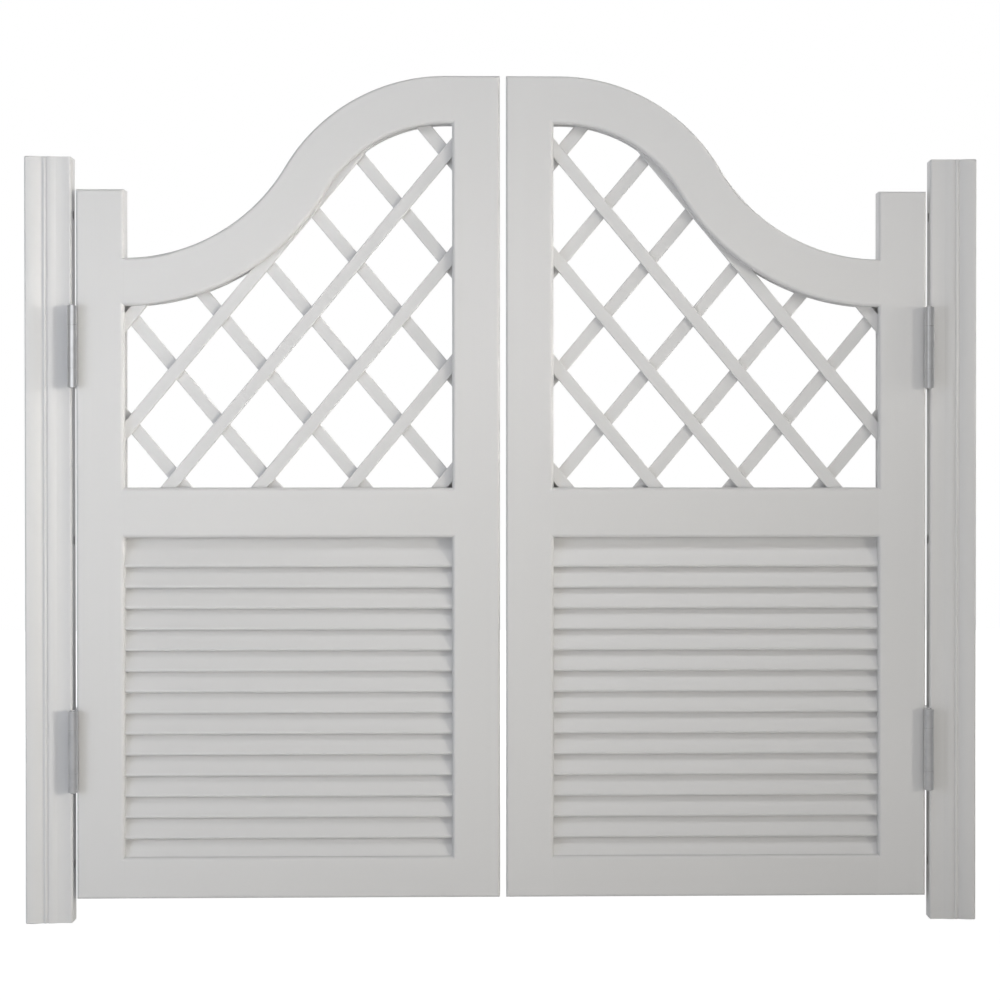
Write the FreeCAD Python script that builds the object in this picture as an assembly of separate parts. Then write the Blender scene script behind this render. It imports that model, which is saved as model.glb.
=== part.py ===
import FreeCAD, Part
import math
import os
from FreeCAD import Rotation, Vector

# A pair of cafe swinging doors hung between two moulded posts that are screwed
# to the sides of a doorway. Each leaf has a lattice window under an S-shaped
# top rail and fixed louvres below the middle rail, and hangs on two
# double-action spring hinges, so that it swings both ways and closes itself.
# Millimetres. X runs along the doorway from the left post to the right one,
# Y from the front to the back and Z up. The origin is at the middle of the
# doorway, in the mid-plane of the leaves, level with the feet of the posts.

# Doorway and posts
opening_width = 1200.0
post_width = 58.5
post_head_rise = 41.0
post_setback = 3.5
post_crown_rise = 5.5
post_crown_radius = 36.0
post_corner_radius = 2.5
quirk_width = 1.8
bead_width = 4.3
bead_rise = 1.4
bead_floor_rise = 0.3
fillet_width = 2.2
ovolo_width = 10.5
ovolo_fall = 1.8
post_flat_width = 19.4
post_flat_sag = 0.8
post_edge_radius = 3.5
post_end_bevel = 1.5

# Gaps between the posts and the leaves
hinge_gap = 5.5
centre_gap = 8.0

# Frame of a leaf
leaf_thickness = 35.0
leaf_foot = 31.0
leaf_height = 1037.0
stile_width = 60.0
hinge_stile_horn = 86.0
bottom_rail_height = 52.0
louvre_window_height = 403.0
mid_rail_height = 63.0
top_rail_width = 60.0
crest_rise = 230.0
crest_shoulder = 8.0
outer_arris_radius = 3.5
window_arris_radius = 5.0

# Dowels in the joints of the frame
dowel_radius = 5.0
dowel_length = 60.0
dowel_spacing = 26.0

# Lattice
lattice_step_x = 56.9
lattice_step_z = 68.4
lattice_foot = 11.6
lattice_strip_width = 16.0
lattice_strip_thickness = 6.0
lattice_edge_radius = 1.2
lattice_groove_depth = 8.0

# Louvres
slat_width = 46.0
slat_thickness = 6.0
slat_edge_radius = 2.5
slat_lean = 26.0
slat_pitch = 26.25
slat_housing_depth = 8.0
slat_rail_bite = 4.4

# Screws that will hold the posts to the doorway
wall_screw_hole_radius = 2.75
wall_screw_recess_radius = 6.0
wall_screw_recess_depth = 12.0
wall_screw_count = 3
wall_screw_end_distance = 72.5

# Double-action spring hinges
hinge_height = 102.0
upper_hinge_drop = 198.0
lower_hinge_rise = 186.5
barrel_radius = 6.25
barrel_wall = 1.5
barrel_stand_off = 3.75
middle_knuckle_height = 54.0
knuckle_gap = 0.5
knuckle_clearance = 0.75
plate_thickness = 1.5
flange_reach = 14.0
washer_thickness = 0.4
washer_rim = 0.15

# Inside a hinge barrel
pin_radius = 2.5
pin_head_radius = 3.6
pin_head_height = 1.5
pin_head_rounding = 0.9
journal_clearance = 0.05
journal_length = 6.0
spring_wire_side = 1.1
spring_pitch = 2.6
spring_end_gap = 0.3
tension_pin_radius = 1.0
tension_pin_grip = 1.5
tension_pin_drop = 9.0

# Hinge screws
screw_radius = 2.0
screw_head_radius = 4.0
screw_length = 25.0
screw_point_length = 3.0
screw_edge_distance = 6.0
screw_end_distance = 11.0
screw_stagger = 14.0
inner_screw_z = 14.0
screw_slot_width = 0.9
screw_slot_length = 5.0
screw_slot_depth = 1.0

# Places worked out from the sizes above, on the left half of the doorway
doorway_side = -opening_width / 2
post_inner = doorway_side + post_width
leaf_outer = post_inner + hinge_gap
leaf_inner = -centre_gap / 2
window_left = leaf_outer + stile_width
window_right = leaf_inner - stile_width
leaf_half = leaf_thickness / 2

bottom_rail_top = leaf_foot + bottom_rail_height
mid_rail_foot = bottom_rail_top + louvre_window_height
mid_rail_top = mid_rail_foot + mid_rail_height
leaf_top = leaf_foot + leaf_height
crest_foot = leaf_top - crest_rise
stile_top = crest_foot + hinge_stile_horn
post_height = stile_top + post_head_rise

crest_start = window_left
crest_end = window_right - crest_shoulder
crest_run = crest_end - crest_start
crest_turn = 2 * math.atan(crest_rise / crest_run)
crest_radius = crest_run / (2 * math.sin(crest_turn))

hinge_x = post_inner + hinge_gap / 2
half_gap = hinge_gap / 2
barrel_y = leaf_half + barrel_stand_off + barrel_radius
half_hinge = hinge_height / 2
half_middle = middle_knuckle_height / 2
end_knuckle_start = half_middle + knuckle_gap
bore_radius = barrel_radius - barrel_wall
collar_radius = bore_radius - journal_clearance
coil_radius = (pin_radius + bore_radius) / 2
upper_hinge_middle = stile_top - upper_hinge_drop
lower_hinge_middle = leaf_foot + lower_hinge_rise

parts = {}


def block(x_low, x_high, y_low, y_high, z_low, z_high):
    """A box between two corners."""
    size = (x_high - x_low, y_high - y_low, z_high - z_low)
    return Part.makeBox(*size, Vector(x_low, y_low, z_low))


def upright_rod(radius, z_low, z_high, y=0.0):
    """A round bar that stands along Z."""
    return Part.makeCylinder(radius, z_high - z_low, Vector(0, y, z_low))


def upright_tube(outer, bore, z_low, z_high, y=0.0):
    """A round tube that stands along Z."""
    return upright_rod(outer, z_low, z_high, y).cut(upright_rod(bore, z_low, z_high, y))


def joined(*shapes):
    """One solid made of several that touch or overlap."""
    return shapes[0].multiFuse(list(shapes[1:])).removeSplitter()


def mirrored(shape):
    """The same shape on the other half of the doorway."""
    return shape.mirror(Vector(0, 0, 0), Vector(1, 0, 0))


def keep(name, *shapes):
    """Add solids to the node with this name."""
    parts.setdefault(name, []).extend(s for shape in shapes for s in shape.Solids)


# ---- Outlines in the plane of the leaves ----


def straight(start, end):
    """A straight edge in the XZ plane."""
    return Part.LineSegment(Vector(start[0], 0, start[1]), Vector(end[0], 0, end[1])).toShape()


def crest_arcs(drop):
    """The two arcs of the top rail's S-curve, this far below its upper edge."""
    hollow = crest_radius + drop
    round_over = crest_radius - drop
    hollow_centre = crest_foot + crest_radius
    round_centre = leaf_top - crest_radius

    def on_hollow(turn):
        x = crest_start + hollow * math.sin(turn)
        return Vector(x, 0, hollow_centre - hollow * math.cos(turn))

    def on_round(turn):
        x = crest_end - round_over * math.sin(turn)
        return Vector(x, 0, round_centre + round_over * math.cos(turn))

    half_turn = crest_turn / 2
    hollow_arc = Part.Arc(on_hollow(0), on_hollow(half_turn), on_hollow(crest_turn))
    round_arc = Part.Arc(on_hollow(crest_turn), on_round(half_turn), on_round(0))
    return [hollow_arc.toShape(), round_arc.toShape()]


def sheet(edges, y_low, y_high):
    """A flat piece with this outline, between two planes across Y."""
    face = Part.Face(Part.Wire(Part.__sortEdges__(edges)))
    face.translate(Vector(0, y_low, 0))
    return face.extrude(Vector(0, y_high - y_low, 0))


def leaf_blank():
    """The whole outline of a leaf, with no windows yet."""
    corners = [
        (crest_start, crest_foot),
        (window_left, stile_top),
        (leaf_outer, stile_top),
        (leaf_outer, leaf_foot),
        (leaf_inner, leaf_foot),
        (leaf_inner, leaf_top),
        (crest_end, leaf_top),
    ]
    sides = [straight(a, b) for a, b in zip(corners, corners[1:])]
    return sheet(sides + crest_arcs(0), -leaf_half, leaf_half)


def lattice_window(margin, y_low, y_high):
    """The space under the top rail, this much larger on every side."""
    drop = top_rail_width - margin
    arch_foot = crest_foot - drop
    arch_top = leaf_top - drop
    left = window_left - margin
    right = window_right + margin
    foot = mid_rail_top - margin
    corners = [
        (crest_start, arch_foot),
        (left, arch_foot),
        (left, foot),
        (right, foot),
        (right, arch_top),
        (crest_end, arch_top),
    ]
    sides = [straight(a, b) for a, b in zip(corners, corners[1:]) if a != b]
    return sheet(sides + crest_arcs(drop), y_low, y_high)


def louvre_window():
    """The space between the middle and bottom rails."""
    return block(window_left, window_right, -leaf_half, leaf_half, bottom_rail_top, mid_rail_foot)


# ---- Louvre slats and lattice strips ----


def louvre_slats():
    """The fixed slats, each with its lower edge at the front."""
    start = window_left - slat_housing_depth
    length = window_right - window_left + 2 * slat_housing_depth
    flat = Part.makeBox(length, slat_thickness, slat_width)
    along_x = [e for e in flat.Edges if abs(e.Length - length) < 0.001]
    slat = flat.makeFillet(slat_edge_radius, along_x)
    slat.rotate(Vector(0, 0, 0), Vector(1, 0, 0), -slat_lean)
    bounds = slat.BoundBox
    slat.translate(Vector(start, -bounds.Center.y, -bounds.ZMin))
    lowest = bottom_rail_top - slat_rail_bite
    climb = louvre_window_height + 2 * slat_rail_bite - bounds.ZLength
    spaces = round(climb / slat_pitch)
    slats = []
    for number in range(spaces + 1):
        copy = slat.copy()
        copy.translate(Vector(0, 0, lowest + number * climb / spaces))
        slats.append(copy)
    return slats


def lattice_strips(leaning, y_low, y_high):
    """Parallel strips that lean right (1) or left (-1), cut to the window's outline."""
    angle = math.atan2(lattice_step_z, lattice_step_x)
    middle_x = (window_left + window_right) / 2
    first_z = mid_rail_top + lattice_foot
    window = lattice_window(0, y_low, y_high)
    housing = lattice_window(lattice_groove_depth, y_low, y_high)
    reach = housing.BoundBox.DiagonalLength
    spacing = 2 * lattice_step_x
    count = math.ceil(reach / spacing)
    least_showing = lattice_strip_width**2 / 2 * lattice_strip_thickness
    strips = []
    for number in range(-count, count + 1):
        x = middle_x - lattice_step_x / 2 + number * spacing
        strip = block(-reach, reach, y_low, y_high, -lattice_strip_width / 2, lattice_strip_width / 2)
        long_edges = [e for e in strip.Edges if e.BoundBox.XLength > reach]
        strip = strip.makeFillet(lattice_edge_radius, long_edges)
        strip.rotate(Vector(0, 0, 0), Vector(0, 1, 0), -leaning * math.degrees(angle))
        strip.translate(Vector(x, 0, first_z))
        if strip.common(window).Volume > least_showing:
            strips.extend(strip.common(housing).Solids)
    return strips


# ---- Frame of a leaf ----


def frame_dowels():
    """Dowels across the joints between the rails and the stiles."""
    bottom_middle = leaf_foot + bottom_rail_height / 2
    mid_middle = mid_rail_foot + mid_rail_height / 2
    left_arch_middle = crest_foot - top_rail_width / 2
    right_arch_middle = leaf_top - top_rail_width / 2
    joints = [
        (window_left, bottom_middle),
        (window_right, bottom_middle),
        (window_left, mid_middle),
        (window_right, mid_middle),
        (window_left, left_arch_middle),
        (window_right, right_arch_middle),
    ]
    dowels = []
    for joint_x, middle_z in joints:
        for side in (-1, 1):
            start = Vector(joint_x - dowel_length / 2, 0, middle_z + side * dowel_spacing / 2)
            dowels.append(Part.makeCylinder(dowel_radius, dowel_length, start, Vector(1, 0, 0)))
    return dowels


def face_edges(shape):
    """The edges that lie in the plane of the front or the back face."""
    return [e for e in shape.Edges if abs(e.BoundBox.YLength) < 0.001]


def leaf_frame():
    """Both stiles and all rails as one routed shape, before it is parted at the joints."""
    blank = leaf_blank()
    rounded = blank.makeFillet(outer_arris_radius, face_edges(blank))
    windows = [lattice_window(0, -leaf_half, leaf_half), louvre_window()]
    whole = rounded.cut(windows)
    arrises = [e for e in face_edges(whole) if min(e.distToShape(w)[0] for w in windows) < 0.001]
    eased = whole.makeFillet(window_arris_radius, arrises)
    groove = lattice_window(lattice_groove_depth, -lattice_strip_thickness, lattice_strip_thickness)
    return eased.cut([groove] + louvre_slats() + frame_dowels())


def frame_pieces():
    """The stiles and rails of a leaf, parted at their joints."""
    frame = leaf_frame()
    y = leaf_half
    pieces = {
        "hinge_stile": block(leaf_outer, window_left, -y, y, leaf_foot, stile_top),
        "meeting_stile": block(window_right, leaf_inner, -y, y, leaf_foot, leaf_top),
        "bottom_rail": block(window_left, window_right, -y, y, leaf_foot, bottom_rail_top),
        "mid_rail": block(window_left, window_right, -y, y, mid_rail_foot, mid_rail_top),
        "top_rail": block(window_left, window_right, -y, y, crest_foot - top_rail_width, leaf_top),
    }
    return {name: frame.common(region) for name, region in pieces.items()}


# ---- Posts ----


def post_profile():
    """The moulded section of the left post, the same on its front and back."""
    flat_y = leaf_half - post_setback
    floor_y = flat_y + bead_floor_rise
    crown_y = flat_y + post_crown_rise
    ease = post_edge_radius
    corner = post_corner_radius
    corner_mid = corner * (1 - math.sqrt(0.5))
    ease_mid = ease * (1 - math.sqrt(0.5))
    flat_start = post_width - post_flat_width
    flat_end = post_width - ease
    ovolo_start = flat_start - ovolo_width
    bead_end = ovolo_start - fillet_width
    bead_start = bead_end - bead_width
    crown_end = bead_start - quirk_width
    crown_turn = math.asin((crown_end - corner) / post_crown_radius)
    ovolo_turn = 2 * math.atan(ovolo_fall / ovolo_width)
    ovolo_radius = ovolo_width / math.sin(ovolo_turn)

    def at(across, depth):
        return Vector(doorway_side + across, depth, 0)

    def line(start, end):
        return Part.LineSegment(at(*start), at(*end)).toShape()

    def arc(start, middle, end):
        return Part.Arc(at(*start), at(*middle), at(*end)).toShape()

    def falling(start, radius, turn):
        """A place on an arc that starts level and falls away, after this much turn."""
        return (start[0] + radius * math.sin(turn), start[1] - radius * (1 - math.cos(turn)))

    crown_top = (corner, crown_y)
    crown_middle = falling(crown_top, post_crown_radius, crown_turn / 2)
    crown_foot = falling(crown_top, post_crown_radius, crown_turn)
    bead_crown = ((bead_start + bead_end) / 2, floor_y + bead_rise)
    ovolo_top = (ovolo_start, flat_y + ovolo_fall)
    ovolo_middle = falling(ovolo_top, ovolo_radius, ovolo_turn / 2)
    flat_middle = ((flat_start + flat_end) / 2, flat_y - post_flat_sag)
    edge_middle = (post_width - ease_mid, flat_y - ease_mid)
    back = [
        line((0, 0), (0, crown_y - corner)),
        arc((0, crown_y - corner), (corner_mid, crown_y - corner_mid), crown_top),
        arc(crown_top, crown_middle, crown_foot),
        line(crown_foot, (crown_end, floor_y)),
        line((crown_end, floor_y), (bead_start, floor_y)),
        arc((bead_start, floor_y), bead_crown, (bead_end, floor_y)),
        line((bead_end, floor_y), (ovolo_start, floor_y)),
        line((ovolo_start, floor_y), ovolo_top),
        arc(ovolo_top, ovolo_middle, (flat_start, flat_y)),
        arc((flat_start, flat_y), flat_middle, (flat_end, flat_y)),
        arc((flat_end, flat_y), edge_middle, (post_width, flat_y - ease)),
        line((post_width, flat_y - ease), (post_width, 0)),
    ]
    front = [edge.mirror(Vector(0, 0, 0), Vector(0, 1, 0)) for edge in back]
    return Part.Face(Part.Wire(Part.__sortEdges__(back + front)))


def post():
    """The left post, with its ends bevelled and its wall screw holes drilled."""
    body = post_profile().extrude(Vector(0, 0, post_height))
    half_depth = body.BoundBox.YMax
    envelope = block(doorway_side, post_inner, -half_depth, half_depth, 0, post_height)
    end_edges = [e for e in envelope.Edges if e.BoundBox.ZLength < 0.001]
    body = body.common(envelope.makeChamfer(post_end_bevel, end_edges))
    along_x = Vector(1, 0, 0)
    spacing = (post_height - 2 * wall_screw_end_distance) / (wall_screw_count - 1)
    holes = []
    for number in range(wall_screw_count):
        middle = Vector(doorway_side, 0, wall_screw_end_distance + number * spacing)
        holes.append(Part.makeCylinder(wall_screw_hole_radius, post_width, middle, along_x))
        middle.x = post_inner - wall_screw_recess_depth
        holes.append(
            Part.makeCylinder(wall_screw_recess_radius, wall_screw_recess_depth, middle, along_x)
        )
    return body.cut(holes)


# ---- Double-action spring hinge, about its own middle ----
# The post is on its -X side and the leaf on its +X side. The front barrel
# joins the jamb flange to the centre plate, and the rear barrel joins the
# centre plate to the door flange.


def knuckle(z_low, z_high, y):
    """A length of barrel, still solid."""
    return upright_rod(barrel_radius, z_low, z_high, y)


def bore(y):
    """The bore of a barrel, from end to end."""
    return upright_rod(bore_radius, -half_hinge, half_hinge, y)


def screw_places():
    """Where the flange screws go: y and z."""
    outer_y = flange_reach - screw_edge_distance
    inner_y = outer_y - screw_stagger
    outer_z = half_hinge - screw_end_distance
    return [(outer_y, -outer_z), (outer_y, outer_z), (inner_y, -inner_screw_z), (inner_y, inner_screw_z)]


def flange_screw(y, z):
    """A countersunk wood screw with its head flush in the jamb flange."""
    face_x = -half_gap + plate_thickness
    into_wood = Vector(-1, 0, 0)
    head = Part.makeCone(screw_head_radius, screw_radius, plate_thickness, Vector(face_x, y, z), into_wood)
    shank_length = screw_length - plate_thickness - screw_point_length
    shank_start = Vector(-half_gap, y, z)
    shank = Part.makeCylinder(screw_radius, shank_length, shank_start, into_wood)
    point_start = Vector(-half_gap - shank_length, y, z)
    point = Part.makeCone(screw_radius, 0, screw_point_length, point_start, into_wood)
    return joined(head, shank, point)


def drive_slots(y, z):
    """The cross recess in a screw's head."""
    face_x = -half_gap + plate_thickness
    wide = screw_slot_length / 2
    thin = screw_slot_width / 2
    floor_x = face_x - screw_slot_depth
    flat = block(floor_x, face_x, y - wide, y + wide, z - thin, z + thin)
    tall = block(floor_x, face_x, y - thin, y + thin, z - wide, z + wide)
    return flat.fuse(tall)


def flange_screws():
    """The screws of one flange, with their drive recesses."""
    return [flange_screw(y, z).cut(drive_slots(y, z)) for y, z in screw_places()]


def screw_tools():
    """The same screws without recesses, to bore the wood and the plate."""
    return [flange_screw(y, z) for y, z in screw_places()]


def tension_pin():
    """The short pin that locks the top collar in its knuckle."""
    start = Vector(tension_pin_grip - collar_radius, -barrel_y, half_hinge - tension_pin_drop)
    barrel = knuckle(-half_hinge, half_hinge, -barrel_y)
    pin = Part.makeCylinder(tension_pin_radius, barrel_radius, start, Vector(-1, 0, 0))
    return pin.common(barrel)


def jamb_flange():
    """The plate on the post, with the two end knuckles of the front barrel."""
    face = -half_gap
    plate_end = -barrel_y + barrel_radius / 2
    plate = block(face, face + plate_thickness, plate_end, flange_reach, -half_hinge, half_hinge)
    notch_y = -barrel_y + barrel_radius + knuckle_clearance
    notch = block(face, face + plate_thickness, plate_end, notch_y, -end_knuckle_start, end_knuckle_start)
    upper = knuckle(end_knuckle_start, half_hinge, -barrel_y)
    lower = knuckle(-half_hinge, -end_knuckle_start, -barrel_y)
    whole = joined(plate.cut(notch), upper, lower)
    return whole.cut([bore(-barrel_y), tension_pin()] + screw_tools())


def centre_plate():
    """The loose plate between the two barrels, with both middle knuckles."""
    half_plate = plate_thickness / 2
    plate = block(-half_plate, half_plate, -barrel_y, barrel_y, -half_hinge, half_hinge)
    notches = []
    for end in (-1, 1):
        notch_y = end * (barrel_y - barrel_radius - knuckle_clearance)
        y_low, y_high = sorted((notch_y, end * (barrel_y + barrel_radius)))
        for z_low, z_high in ((half_middle, half_hinge), (-half_hinge, -half_middle)):
            notches.append(block(-half_plate, half_plate, y_low, y_high, z_low, z_high))
    front = knuckle(-half_middle, half_middle, -barrel_y)
    rear = knuckle(-half_middle, half_middle, barrel_y)
    return joined(plate.cut(notches), front, rear).cut([bore(-barrel_y), bore(barrel_y)])


def barrel_pin():
    """The pin of the front barrel, with a domed head at each end."""
    shank = upright_rod(pin_radius, -half_hinge, half_hinge, -barrel_y)
    top = upright_rod(pin_head_radius, half_hinge, half_hinge + pin_head_height, -barrel_y)
    bottom = upright_rod(pin_head_radius, -half_hinge - pin_head_height, -half_hinge, -barrel_y)
    rims = []
    for head, end_z in ((top, half_hinge + pin_head_height), (bottom, -half_hinge - pin_head_height)):
        rim = [e for e in head.Edges if abs(e.BoundBox.ZMin - end_z) + e.BoundBox.ZLength < 0.01]
        rims.append(head.makeFillet(pin_head_rounding, rim))
    return joined(shank, *rims)


def barrel_collars():
    """The two collars of the front barrel, which the centre plate's knuckle turns on."""
    inner_end = half_middle - journal_length
    top = upright_tube(collar_radius, pin_radius, inner_end, half_hinge, -barrel_y)
    bottom = upright_tube(collar_radius, pin_radius, -half_hinge, -inner_end, -barrel_y)
    return [top.cut(tension_pin()), bottom]


def barrel_spring():
    """The square-wire torsion spring of the front barrel, around its pin and between the collars."""
    length = 2 * (half_middle - journal_length - spring_end_gap) - spring_wire_side
    coil = Part.Wire(Part.makeHelix(spring_pitch, length, coil_radius).Edges)
    half_side = spring_wire_side / 2
    corners = ((-1, -1), (1, -1), (1, 1), (-1, 1), (-1, -1))
    outline = [Vector(coil_radius + x * half_side, 0, z * half_side) for x, z in corners]
    spring = coil.makePipeShell([Part.makePolygon(outline)], True, True)
    if spring.Volume < 0:
        spring.reverse()
    spring.translate(Vector(0, -barrel_y, -length / 2))
    return spring


def knuckle_washers():
    """The thin washers between the knuckles of both barrels."""
    middle = half_middle + knuckle_gap / 2
    washers = []
    for y in (-barrel_y, barrel_y):
        for z in (-middle, middle):
            low = z - washer_thickness / 2
            high = z + washer_thickness / 2
            washers.append(upright_tube(barrel_radius - washer_rim, bore_radius, low, high, y))
    return washers


def turned(shape):
    """The same shape turned half a turn about the hinge's own upright axis."""
    copy = shape.copy()
    copy.rotate(Vector(0, 0, 0), Vector(0, 0, 1), 180)
    return copy


def hung(shape, side, middle_z):
    """A hinge piece in its place on the left or the right side of the doorway."""
    copy = shape.copy()
    copy.translate(Vector(hinge_x, 0, middle_z))
    return copy if side == "left" else turned(copy)


# ---- The whole assembly ----


def add_hinges(side):
    """The upper and lower hinges of one leaf."""
    flange = jamb_flange()
    screws = flange_screws()
    inner = {
        "pins": [barrel_pin()],
        "collars": barrel_collars(),
        "springs": [barrel_spring()],
        "tension_pins": [tension_pin()],
        "screws": screws,
    }
    for level, middle_z in (("upper", upper_hinge_middle), ("lower", lower_hinge_middle)):
        keep(f"{side}_{level}_jamb_flange", hung(flange, side, middle_z))
        keep(f"{side}_{level}_centre_plate", hung(centre_plate(), side, middle_z))
        keep(f"{side}_{level}_door_flange", hung(turned(flange), side, middle_z))
        for name, shapes in inner.items():
            for shape in shapes:
                keep(f"{side}_jamb_{name}", hung(shape, side, middle_z))
                keep(f"{side}_door_{name}", hung(turned(shape), side, middle_z))
        for washer in knuckle_washers():
            keep(f"{side}_knuckle_washers", hung(washer, side, middle_z))


def pilot_holes(side, on_leaf):
    """The screws of one side, as tools to bore its post or its leaf."""
    tools = []
    for middle_z in (upper_hinge_middle, lower_hinge_middle):
        for screw in screw_tools():
            tools.append(hung(turned(screw) if on_leaf else screw, side, middle_z))
    return tools


def add_woodwork():
    """The posts and leaves. The right half is the left half mirrored."""
    left_post = post()
    pieces = frame_pieces()
    front_strips = lattice_strips(1, -lattice_strip_thickness, 0)
    back_strips = lattice_strips(-1, 0, lattice_strip_thickness)
    for side in ("left", "right"):
        own = mirrored if side == "right" else Part.Shape.copy
        keep(f"{side}_post", own(left_post).cut(pilot_holes(side, False)))
        for name, piece in pieces.items():
            shape = own(piece)
            if name == "hinge_stile":
                shape = shape.cut(pilot_holes(side, True))
            keep(f"{side}_{name}", shape)
        keep(f"{side}_lattice_front", *[own(strip) for strip in front_strips])
        keep(f"{side}_lattice_back", *[own(strip) for strip in back_strips])
        keep(f"{side}_louvre_slats", *[own(slat) for slat in louvre_slats()])
        keep(f"{side}_frame_dowels", *[own(dowel) for dowel in frame_dowels()])


add_woodwork()
add_hinges("left")
add_hinges("right")

os.makedirs("parts", exist_ok=True)
for name, solids in parts.items():
    shape = solids[0] if len(solids) == 1 else Part.makeCompound(solids)
    shape.exportStep(os.path.join("parts", f"{name}.step"))
    print(f"{name}: {len(solids)} solid(s), {shape.Volume / 1000:.2f} cm3, valid {shape.isValid()}")
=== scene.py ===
import math

import bpy
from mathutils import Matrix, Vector

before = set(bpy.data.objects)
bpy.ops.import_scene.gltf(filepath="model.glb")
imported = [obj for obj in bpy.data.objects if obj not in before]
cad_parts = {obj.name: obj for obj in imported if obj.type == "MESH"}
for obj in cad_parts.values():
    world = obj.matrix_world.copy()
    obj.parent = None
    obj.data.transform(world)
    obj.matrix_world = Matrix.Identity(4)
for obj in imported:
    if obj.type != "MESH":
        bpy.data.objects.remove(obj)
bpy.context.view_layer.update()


# ---- Posts ----
# Two moulded softwood posts, planed, run through a moulder, undercoated and brushed with
# semi-gloss white paint. Each is screwed through its width to the side of the doorway, in
# three counterbored holes on the face that looks at the leaf.

SIDES = ("left", "right")

PAINT_WHITE = (0.710, 0.710, 0.716, 1)
PAINT_DEEP = (0.686, 0.685, 0.688, 1)
PAINT_THIN = (0.60, 0.585, 0.555, 1)
PAINT_ROUGHNESS = 0.36
PAINT_IOR = 1.5
COAT_WEIGHT = 0.15
COAT_ROUGHNESS = 0.25
WHITE_SHARE = 0.78
BRISTLE_TONE = 0.30
BRISTLE_SHEEN = 0.16
BRISTLE_RELIEF = 0.16
BRISTLE_DEPTH = 0.0005
GRAIN_RING = 0.08
STROKE_STRETCH = 0.04
CORNER_REACH = 0.0010
CORNER_START = 0.990
CORNER_FULL = 0.90

# The places of the two colours and of the mixed one among the sockets of a Mix node.
FIRST_COLOUR, SECOND_COLOUR, MIXED_COLOUR = 6, 7, 2


def feed(tree, node, inputs):
    """Links each input to the socket that is given for it, or sets it to a plain value."""
    for name, value in inputs.items():
        if isinstance(value, bpy.types.NodeSocket):
            tree.links.new(value, node.inputs[name])
        else:
            node.inputs[name].default_value = value


def add_node(tree, kind, place, inputs=None, **settings):
    """Adds a shader node at a place in the tree, with its settings and its inputs."""
    node = tree.nodes.new(kind)
    node.location = place
    for name, value in settings.items():
        setattr(node, name, value)
    feed(tree, node, inputs or {})
    return node


def calculate(tree, place, operation, *terms, clamp=False):
    """Adds a Math node for sockets and plain numbers, and returns its result."""
    terms = dict(enumerate(terms))
    node = add_node(tree, "ShaderNodeMath", place, terms, operation=operation, use_clamp=clamp)
    return node.outputs[0]


def noise(tree, place, vector, **inputs):
    """Adds a cloudy pattern and returns its grey value."""
    inputs["Vector"] = vector
    return add_node(tree, "ShaderNodeTexNoise", place, inputs).outputs["Fac"]


def ramp(tree, place, value, start, full, low=0.0, high=1.0):
    """Adds a change from low to high, as a value goes from start to full."""
    inputs = {"Value": value, "From Min": start, "From Max": full, "To Min": low, "To Max": high}
    return add_node(tree, "ShaderNodeMapRange", place, inputs).outputs["Result"]


def mix_colours(tree, place, share, first, second):
    """Adds a change from a first colour to a second one by a share from 0 to 1."""
    inputs = {"Factor": share, FIRST_COLOUR: first, SECOND_COLOUR: second}
    return add_node(tree, "ShaderNodeMix", place, inputs, data_type="RGBA").outputs[MIXED_COLOUR]


def mix_shaders(tree, place, share, first, second):
    """Adds a change from a first shader to a second one by a share from 0 to 1."""
    inputs = {"Fac": share, 1: first.outputs[0], 2: second.outputs[0]}
    return add_node(tree, "ShaderNodeMixShader", place, inputs).outputs[0]


def relief(tree, place, height, strength, depth):
    """Adds a bump of a depth in metres and returns its normal."""
    inputs = {"Height": height, "Strength": strength, "Distance": depth}
    return add_node(tree, "ShaderNodeBump", place, inputs).outputs["Normal"]


def group_socket(group, name, direction, kind, value=None, low=None, high=None):
    """Adds a named input or output to a node group."""
    socket = group.interface.new_socket(name=name, in_out=direction, socket_type=kind)
    if value is not None:
        socket.default_value = value
    if low is not None:
        socket.min_value = low
        socket.max_value = high


def new_material(name):
    """Starts a material, and returns it with its node tree and its shader."""
    material = bpy.data.materials.new(name)
    material.use_nodes = True
    return material, material.node_tree, material.node_tree.nodes["Principled BSDF"]


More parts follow.
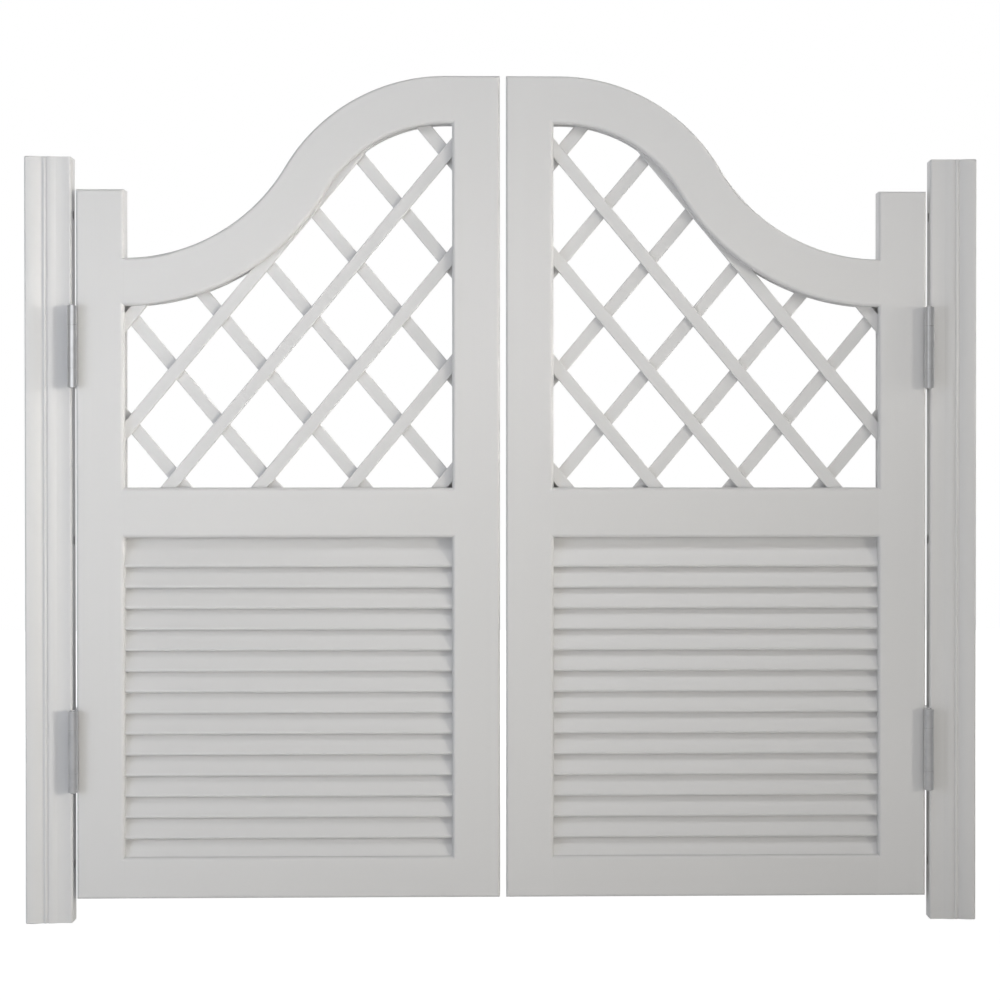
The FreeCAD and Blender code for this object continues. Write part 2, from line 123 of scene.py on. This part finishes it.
def make_brushed_paint_group():
    """Paint laid on by brush along the wood: slow changes of tone, bristle marks and grain."""
    group = bpy.data.node_groups.new("Brushed paint", "ShaderNodeTree")
    group_socket(group, "Vector", "INPUT", "NodeSocketVector")
    group_socket(group, "Paint", "INPUT", "NodeSocketColor", PAINT_WHITE)
    group_socket(group, "Deep tone", "INPUT", "NodeSocketColor", PAINT_DEEP)
    group_socket(group, "Bristle marks", "INPUT", "NodeSocketFloat", 1.0, 0.0, 4.0)
    group_socket(group, "Grain", "INPUT", "NodeSocketFloat", 0.3, 0.0, 4.0)
    group_socket(group, "Roughness", "INPUT", "NodeSocketFloat", PAINT_ROUGHNESS, 0.0, 1.0)
    group_socket(group, "Colour", "OUTPUT", "NodeSocketColor")
    group_socket(group, "Roughness", "OUTPUT", "NodeSocketFloat")
    group_socket(group, "Height", "OUTPUT", "NodeSocketFloat")
    given = add_node(group, "NodeGroupInput", (-1300, 0)).outputs

    slow = noise(group, (-1000, 320), given["Vector"], Scale=3.1, Detail=3.0)
    bristle = noise(group, (-1000, 40), given["Vector"], Scale=150.0, Detail=4.0, Roughness=0.6)
    figure = noise(group, (-1000, -280), given["Vector"], Scale=21.0, Detail=2.0, Distortion=1.2)

    tone = ramp(group, (-700, 320), slow, 0.30, 0.70)
    marks = calculate(group, (-700, 60), "MULTIPLY", bristle, given["Bristle marks"])
    both = calculate(group, (-440, 240), "MULTIPLY_ADD", marks, BRISTLE_TONE, tone)
    share = calculate(group, (-220, 240), "MULTIPLY", both, WHITE_SHARE, clamp=True)
    colour = mix_colours(group, (60, 280), share, given["Deep tone"], given["Paint"])

    middle = calculate(group, (-440, -60), "SUBTRACT", bristle, 0.5)
    sheen = calculate(group, (60, 0), "MULTIPLY_ADD", middle, BRISTLE_SHEEN, given["Roughness"])

    rings = calculate(group, (-700, -280), "PINGPONG", figure, GRAIN_RING)
    ridges = calculate(group, (-440, -280), "MULTIPLY", rings, 1 / GRAIN_RING)
    grain = calculate(group, (-220, -280), "MULTIPLY", ridges, given["Grain"])
    height = calculate(group, (60, -240), "ADD", marks, grain)
    results = {"Colour": colour, "Roughness": sheen, "Height": height}
    add_node(group, "NodeGroupOutput", (900, 0), results)
    return group


def make_thin_edges_group():
    """Where paint is rubbed thin on a sharp corner: a broken mask that follows the corners."""
    group = bpy.data.node_groups.new("Thin edges", "ShaderNodeTree")
    group_socket(group, "Vector", "INPUT", "NodeSocketVector")
    group_socket(group, "Reach", "INPUT", "NodeSocketFloat", CORNER_REACH, 0.0, 0.01)
    group_socket(group, "Amount", "INPUT", "NodeSocketFloat", 0.5, 0.0, 1.0)
    group_socket(group, "Mask", "OUTPUT", "NodeSocketFloat")
    given = add_node(group, "NodeGroupInput", (-1000, 0)).outputs

    rounded = add_node(group, "ShaderNodeBevel", (-740, 220), {"Radius": given["Reach"]}, samples=4)
    surface = add_node(group, "ShaderNodeNewGeometry", (-740, 20))
    normals = {0: rounded.outputs["Normal"], 1: surface.outputs["Normal"]}
    facing = add_node(group, "ShaderNodeVectorMath", (-500, 140), normals, operation="DOT_PRODUCT")
    corner = ramp(group, (-280, 140), facing.outputs["Value"], CORNER_START, CORNER_FULL)

    broken = noise(group, (-500, -160), given["Vector"], Scale=30.0, Detail=6.0)
    patches = ramp(group, (-280, -160), broken, 0.46, 0.70)
    both = calculate(group, (0, 0), "MULTIPLY", corner, patches)
    mask = calculate(group, (240, 0), "MULTIPLY", both, given["Amount"], clamp=True)
    add_node(group, "NodeGroupOutput", (700, 0), {"Mask": mask})
    return group


BRUSHED_PAINT = make_brushed_paint_group()
THIN_EDGES = make_thin_edges_group()


def painted_wood(name, along, lean=0.0, marks=1.0, grain=0.3, wear=0.3):
    """White paint whose strokes run along X or Z, turned by the lean of the piece."""
    material, tree, shader = new_material(name)
    place = add_node(tree, "ShaderNodeTexCoord", (-1300, 0)).outputs["Object"]
    turn = {"Vector": place, "Rotation": (0, lean, 0)}
    turned = add_node(tree, "ShaderNodeMapping", (-1100, 0), turn)
    stretch = [1.0, 1.0, 1.0]
    stretch["XYZ".index(along)] = STROKE_STRETCH
    stroke = {"Vector": turned.outputs["Vector"], "Scale": stretch}
    strokes = add_node(tree, "ShaderNodeMapping", (-900, 0), stroke)

    brushed = {
        "Vector": strokes.outputs["Vector"],
        "Paint": PAINT_WHITE,
        "Deep tone": PAINT_DEEP,
        "Bristle marks": marks,
        "Grain": grain,
        "Roughness": PAINT_ROUGHNESS,
    }
    paint = add_node(tree, "ShaderNodeGroup", (-600, 100), brushed, node_tree=BRUSHED_PAINT).outputs
    worn = {"Vector": place, "Amount": wear}
    thin = add_node(tree, "ShaderNodeGroup", (-600, -220), worn, node_tree=THIN_EDGES).outputs
    feed(tree, shader, {
        "Base Color": mix_colours(tree, (-300, 300), thin["Mask"], paint["Colour"], PAINT_THIN),
        "Roughness": paint["Roughness"],
        "IOR": PAINT_IOR,
        "Coat Weight": COAT_WEIGHT,
        "Coat Roughness": COAT_ROUGHNESS,
        "Normal": relief(tree, (-300, -100), paint["Height"], BRISTLE_RELIEF, BRISTLE_DEPTH),
    })
    return material


def finish_nodes(material, *names):
    """Gives CAD nodes their finish."""
    for name in names:
        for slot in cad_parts[name].material_slots:
            slot.material = material


POST_PAINT = painted_wood("Post paint", along="Z", grain=0.35)
finish_nodes(POST_PAINT, *[f"{side}_post" for side in SIDES])


# ---- Stiles and rails ----
# The frame of each leaf is planed 35 mm stock: two uprights, a bottom rail, a middle rail
# and a top rail sawn to an S-curve. The joints are dowelled, glued, sanded flush and painted.

STILE_PAINT = painted_wood("Stile paint", along="Z")
RAIL_PAINT = painted_wood("Rail paint", along="X")
for side in SIDES:
    finish_nodes(STILE_PAINT, f"{side}_hinge_stile", f"{side}_meeting_stile")
    finish_nodes(RAIL_PAINT, f"{side}_top_rail", f"{side}_mid_rail", f"{side}_bottom_rail")


# ---- Louvres ----
# Thin planed slats with rounded edges, housed in the stiles at a fixed slope. They are
# sprayed before they are put in, so that the paint is smoother than on the frame.

SLAT_PAINT = painted_wood("Slat paint", along="X", marks=0.6, grain=0.2, wear=0.2)
finish_nodes(SLAT_PAINT, *[f"{side}_louvre_slats" for side in SIDES])


# ---- Lattice ----
# Two layers of sawn strips with eased edges that cross face to face, let into a groove all
# round the window. The strokes of the brush follow each strip, which climbs one step
# upwards for each step sideways.

STEP_ACROSS = 0.0569
STEP_UP = 0.0684
LATTICE_LEAN = math.atan2(STEP_UP, STEP_ACROSS)

RISING_PAINT = painted_wood("Rising strip paint", along="X", lean=LATTICE_LEAN, grain=0.4, wear=0.4)
FALLING_PAINT = painted_wood("Falling strip paint", along="X", lean=-LATTICE_LEAN, grain=0.4, wear=0.4)
finish_nodes(RISING_PAINT, "left_lattice_front", "right_lattice_back")
finish_nodes(FALLING_PAINT, "left_lattice_back", "right_lattice_front")


# ---- Dowels ----
# Fluted beech pegs, glued across the joints of the frame and hidden in them. Bare wood,
# with the short dark flecks that beech shows along its grain.

BEECH_PALE = (0.63, 0.44, 0.27, 1)
BEECH_DARK = (0.45, 0.28, 0.15, 1)
BEECH_ROUGHNESS = 0.62
BEECH_STRETCH = (0.12, 1.0, 1.0)
BAND_SHARE = 0.45
PORE_RELIEF = 0.3
PORE_DEPTH = 0.0003

BARE_BEECH, tree, shader = new_material("Bare beech")
place = add_node(tree, "ShaderNodeTexCoord", (-1100, 0)).outputs["Object"]
fibre = {"Vector": place, "Scale": BEECH_STRETCH}
fibres = add_node(tree, "ShaderNodeMapping", (-900, 0), fibre).outputs["Vector"]
flecks = noise(tree, (-680, 160), fibres, Scale=900.0, Detail=2.0)
bands = noise(tree, (-680, -140), fibres, Scale=120.0, Detail=3.0, Distortion=0.6)
fleck_share = ramp(tree, (-460, 160), flecks, 0.56, 0.70)
band_share = calculate(tree, (-460, -140), "MULTIPLY", bands, BAND_SHARE)
dark_share = calculate(tree, (-260, 60), "MAXIMUM", fleck_share, band_share)
feed(tree, shader, {
    "Base Color": mix_colours(tree, (-60, 120), dark_share, BEECH_PALE, BEECH_DARK),
    "Roughness": BEECH_ROUGHNESS,
    "Normal": relief(tree, (-60, -200), flecks, PORE_RELIEF, PORE_DEPTH),
})
finish_nodes(BARE_BEECH, *[f"{side}_frame_dowels" for side in SIDES])


# ---- Hinge flanges and centre plates ----
# Double-action spring hinges of rolled steel, 102 mm high. The sheet is rolled into the
# knuckles, polished along the barrel and plated with satin nickel.

NICKEL = (0.70, 0.705, 0.72, 1)
NICKEL_DULL = (0.56, 0.565, 0.58, 1)
LINE_ROUGHNESS = 0.12
DULL_ROUGHNESS = 0.16
LINE_RELIEF = 0.08
LINE_DEPTH = 0.0001
LEVELS = ("upper", "lower")


def make_worked_steel_group():
    """Steel with fine tool lines and cloudy handling marks, duller where it was handled."""
    group = bpy.data.node_groups.new("Worked steel", "ShaderNodeTree")
    group_socket(group, "Vector", "INPUT", "NodeSocketVector")
    group_socket(group, "Line vector", "INPUT", "NodeSocketVector")
    group_socket(group, "Clean", "INPUT", "NodeSocketColor", NICKEL)
    group_socket(group, "Dull", "INPUT", "NodeSocketColor", NICKEL_DULL)
    group_socket(group, "Cloud size", "INPUT", "NodeSocketFloat", 60.0, 1.0, 1000.0)
    group_socket(group, "Dullness", "INPUT", "NodeSocketFloat", 0.5, 0.0, 1.0)
    group_socket(group, "Roughness", "INPUT", "NodeSocketFloat", 0.28, 0.0, 1.0)
    group_socket(group, "Colour", "OUTPUT", "NodeSocketColor")
    group_socket(group, "Roughness", "OUTPUT", "NodeSocketFloat")
    group_socket(group, "Height", "OUTPUT", "NodeSocketFloat")
    given = add_node(group, "NodeGroupInput", (-1200, 0)).outputs

    cloud_size = given["Cloud size"]
    clouds = noise(group, (-900, 240), given["Vector"], Scale=cloud_size, Detail=5.0, Roughness=0.6)
    lines = noise(group, (-900, -80), given["Line vector"], Scale=1400.0, Detail=3.0, Roughness=0.7)
    cloudy = ramp(group, (-660, 240), clouds, 0.42, 0.68)
    dull = calculate(group, (-440, 240), "MULTIPLY", cloudy, given["Dullness"], clamp=True)
    colour = mix_colours(group, (-160, 280), dull, given["Clean"], given["Dull"])

    lined = calculate(group, (-440, -60), "MULTIPLY_ADD", lines, LINE_ROUGHNESS, given["Roughness"])
    rougher = calculate(group, (-160, 0), "MULTIPLY_ADD", dull, DULL_ROUGHNESS, lined)
    results = {"Colour": colour, "Roughness": rougher, "Height": lines}
    add_node(group, "NodeGroupOutput", (800, 0), results)
    return group


WORKED_STEEL = make_worked_steel_group()


def steel(name, clean, dull, roughness, dullness=0.5, cloud_size=60.0, line_scale=(1, 1, 0.03)):
    """A bare or plated metal whose tool lines run where their scale is small."""
    material, tree, shader = new_material(name)
    place = add_node(tree, "ShaderNodeTexCoord", (-1000, 0)).outputs["Object"]
    line = {"Vector": place, "Scale": line_scale}
    lines = add_node(tree, "ShaderNodeMapping", (-800, -120), line)
    worked = {
        "Vector": place,
        "Line vector": lines.outputs["Vector"],
        "Clean": clean,
        "Dull": dull,
        "Cloud size": cloud_size,
        "Dullness": dullness,
        "Roughness": roughness,
    }
    metal = add_node(tree, "ShaderNodeGroup", (-540, 60), worked, node_tree=WORKED_STEEL).outputs
    feed(tree, shader, {
        "Base Color": metal["Colour"],
        "Metallic": 1.0,
        "Roughness": metal["Roughness"],
        "Normal": relief(tree, (-240, -200), metal["Height"], LINE_RELIEF, LINE_DEPTH),
    })
    return material


SATIN_NICKEL = steel("Satin nickel", NICKEL, NICKEL_DULL, roughness=0.24)
for side in SIDES:
    for level in LEVELS:
        for piece in ("jamb_flange", "centre_plate", "door_flange"):
            finish_nodes(SATIN_NICKEL, f"{side}_{level}_{piece}")


# ---- Pins, collars and washers ----
# Turned steel pins with domed heads, the collars that the middle knuckles turn on, the
# tension pins that lock them and thin washers. All are bright steel with a film of oil.

TURNED_CLEAN = (0.62, 0.62, 0.63, 1)
TURNED_OILED = (0.44, 0.435, 0.43, 1)

TURNED_STEEL = steel(
    "Turned steel", TURNED_CLEAN, TURNED_OILED, roughness=0.2, cloud_size=220.0, line_scale=(0.05, 0.05, 1)
)
for side in SIDES:
    for barrel in ("jamb", "door"):
        finish_nodes(TURNED_STEEL, f"{side}_{barrel}_pins", f"{side}_{barrel}_collars")
        finish_nodes(TURNED_STEEL, f"{side}_{barrel}_tension_pins")
    finish_nodes(TURNED_STEEL, f"{side}_knuckle_washers")


# ---- Springs ----
# Torsion springs coiled from square music wire, left in the blue-grey of drawing and
# greased, closed up inside the barrels.

WIRE_CLEAN = (0.34, 0.345, 0.36, 1)
WIRE_GREASED = (0.17, 0.16, 0.15, 1)

SPRING_WIRE = steel("Spring wire", WIRE_CLEAN, WIRE_GREASED, roughness=0.34, dullness=0.8, cloud_size=300.0)
for side in SIDES:
    finish_nodes(SPRING_WIRE, f"{side}_jamb_springs", f"{side}_door_springs")


# ---- Hinge screws ----
# Countersunk wood screws with a cross recess, zinc plated, four to a flange. They hold
# the flanges to the inner face of the post and to the edge of the leaf.

ZINC = (0.68, 0.68, 0.67, 1)
ZINC_DULL = (0.52, 0.51, 0.47, 1)

ZINC_STEEL = steel("Zinc plate", ZINC, ZINC_DULL, roughness=0.3, cloud_size=400.0, line_scale=(1, 1, 1))
for side in SIDES:
    finish_nodes(ZINC_STEEL, f"{side}_jamb_screws", f"{side}_door_screws")


# ---- Floor ----
# A pale studio floor. It keeps a faint shadow of the doors close to them and fades to
# plain white further out, so that it has no edge.

FLOOR_SIZE = 12.0
FLOOR_PALE = (0.8, 0.8, 0.8, 1)
FLOOR_GLOW = 1.28
GLOW_NEAR = 0.72
FADE_START = 0.7
FADE_END = 2.5

bpy.ops.mesh.primitive_plane_add(size=FLOOR_SIZE, location=(0, 0, 0))
floor = bpy.context.object
floor.name = "floor"

floor_paint = bpy.data.materials.new("Floor")
floor_paint.use_nodes = True
tree = floor_paint.node_tree
tree.nodes.clear()
spot = add_node(tree, "ShaderNodeTexCoord", (-1000, 100)).outputs["Object"]
distance = add_node(tree, "ShaderNodeVectorMath", (-800, 100), {0: spot}, operation="LENGTH")
fade = ramp(tree, (-600, 100), distance.outputs["Value"], FADE_START, FADE_END, low=GLOW_NEAR)
seen = add_node(tree, "ShaderNodeLightPath", (-600, 400)).outputs["Is Camera Ray"]
share = calculate(tree, (-400, 200), "MULTIPLY", seen, fade)
plain = add_node(tree, "ShaderNodeBsdfDiffuse", (-400, 0), {"Color": FLOOR_PALE})
glow = add_node(tree, "ShaderNodeEmission", (-400, -150), {"Strength": FLOOR_GLOW})
mixed = mix_shaders(tree, (-200, 0), share, plain, glow)
add_node(tree, "ShaderNodeOutputMaterial", (0, 0), {"Surface": mixed})
floor.data.materials.append(floor_paint)


# ---- Backdrop and lamps ----
# A white backdrop behind the doors, which the camera sees all round, and a grey room in
# front that the metal mirrors. Most lamps stand at the height of the doors, so that they
# reach in between the louvres, and two cards show only in what mirrors them.

ROOM_COLOUR = (1.0, 0.99, 0.97, 1)
ROOM_LIGHT = 0.05
ROOM_MIRRORED = 0.35
BACKDROP_COLOUR = (1.0, 1.0, 1.0, 1)
BACKDROP_LIGHT = 0.75
BACKDROP_START = 0.05
BACKDROP_FULL = 0.35

world = bpy.data.worlds.new("Studio")
bpy.context.scene.world = world
world.use_nodes = True
tree = world.node_tree
tree.nodes.clear()
rays = add_node(tree, "ShaderNodeLightPath", (-800, 300)).outputs
direction = add_node(tree, "ShaderNodeTexCoord", (-800, -100)).outputs["Generated"]
axes = add_node(tree, "ShaderNodeSeparateXYZ", (-600, -100), {0: direction}).outputs
behind = ramp(tree, (-400, -100), axes["Y"], BACKDROP_START, BACKDROP_FULL)
lit = calculate(tree, (-200, 0), "MULTIPLY", behind, BACKDROP_LIGHT)
seen = calculate(tree, (-200, 200), "MAXIMUM", rays["Is Camera Ray"], rays["Is Transmission Ray"])
share = calculate(tree, (0, 100), "MAXIMUM", lit, seen)
level = ramp(tree, (-400, 300), rays["Is Glossy Ray"], 0.0, 1.0, low=ROOM_LIGHT, high=ROOM_MIRRORED)
room = add_node(tree, "ShaderNodeBackground", (200, 100), {"Color": ROOM_COLOUR, "Strength": level})
backdrop = add_node(tree, "ShaderNodeBackground", (200, -100), {"Color": BACKDROP_COLOUR, "Strength": 1.0})
mixed = mix_shaders(tree, (400, 0), share, room, backdrop)
add_node(tree, "ShaderNodeOutputWorld", (600, 0), {"Surface": mixed})


def softbox(name, place, target, size, power, colour, spread=180, in_mirrors=True, on_surfaces=True):
    """A rectangular lamp that faces a point."""
    lamp = bpy.data.lights.new(name, "AREA")
    lamp.shape = "RECTANGLE"
    lamp.size, lamp.size_y = size
    lamp.energy = power
    lamp.color = colour
    lamp.spread = math.radians(spread)
    holder = bpy.data.objects.new(name, lamp)
    bpy.context.scene.collection.objects.link(holder)
    holder.location = place
    aim = Vector(target) - Vector(place)
    holder.rotation_mode = "QUATERNION"
    holder.rotation_quaternion = aim.to_track_quat("-Z", "Y")
    holder.visible_camera = False
    holder.visible_glossy = in_mirrors
    holder.visible_diffuse = on_surfaces


softbox(
    "side window", place=(-2.2, -1.8, 0.65), target=(-2.2, 0, 0.65), size=(1.6, 1.1),
    power=25.5, colour=(0.86, 0.91, 1.0), in_mirrors=False,
)
softbox(
    "evening key", place=(3.76, -3.42, 0.85), target=(-1.75, -0.05, 0.3), size=(1.0, 1.2),
    power=8.0, colour=(1.0, 0.952, 0.855), spread=42, in_mirrors=False,
)
softbox(
    "grazing key", place=(1.6, -0.5, 0.85), target=(-0.575, -0.03, 0.74), size=(0.4, 0.4),
    power=0.36, colour=(1.0, 0.97, 0.92), spread=25, in_mirrors=False,
)
softbox(
    "top", place=(0.40, -1.2, 1.9), target=(0.4, 0, 0.8), size=(1.6, 0.6),
    power=7.9, colour=(0.985, 0.99, 1.0),
)
softbox(
    "low fill", place=(0.25, -1.6, 0.15), target=(0.2, 0, 0.2), size=(2.0, 0.25),
    power=4.4, colour=(1.0, 0.96, 0.885), in_mirrors=False,
)
softbox(
    "left card", place=(-1.1, -1.9, 0.95), target=(-1.1, 0, 0.95), size=(2.0, 1.3),
    power=2.7, colour=(0.96, 0.98, 1.0), spread=100, on_surfaces=False,
)
softbox(
    "right card", place=(0.55, -2.3, 1.2), target=(-0.75, 0, 0.8), size=(1.2, 1.2),
    power=0.55, colour=(0.98, 0.98, 1.0), spread=60, on_surfaces=False,
)


# ---- Camera ----
# It stands 3.3 m in front of the doors, a little to the right of the middle, and looks
# slightly down and to the right. Its view is shifted so that the doors fill the middle.

LENS = 93.54
SENSOR_WIDTH = 36.0
VIEW_SHIFT = -0.1
EYE = (0.0294, -3.3, 0.569)
TURNED_DOWN = 0.624
TURNED_RIGHT = 1.628

view = bpy.data.cameras.new("camera")
view.lens = LENS
view.sensor_width = SENSOR_WIDTH
view.shift_x = VIEW_SHIFT
camera = bpy.data.objects.new("camera", view)
bpy.context.scene.collection.objects.link(camera)
camera.location = EYE
camera.rotation_euler = (math.radians(90 - TURNED_DOWN), 0, math.radians(-TURNED_RIGHT))
bpy.context.scene.camera = camera
bpy.context.scene.view_settings.view_transform = "Standard"
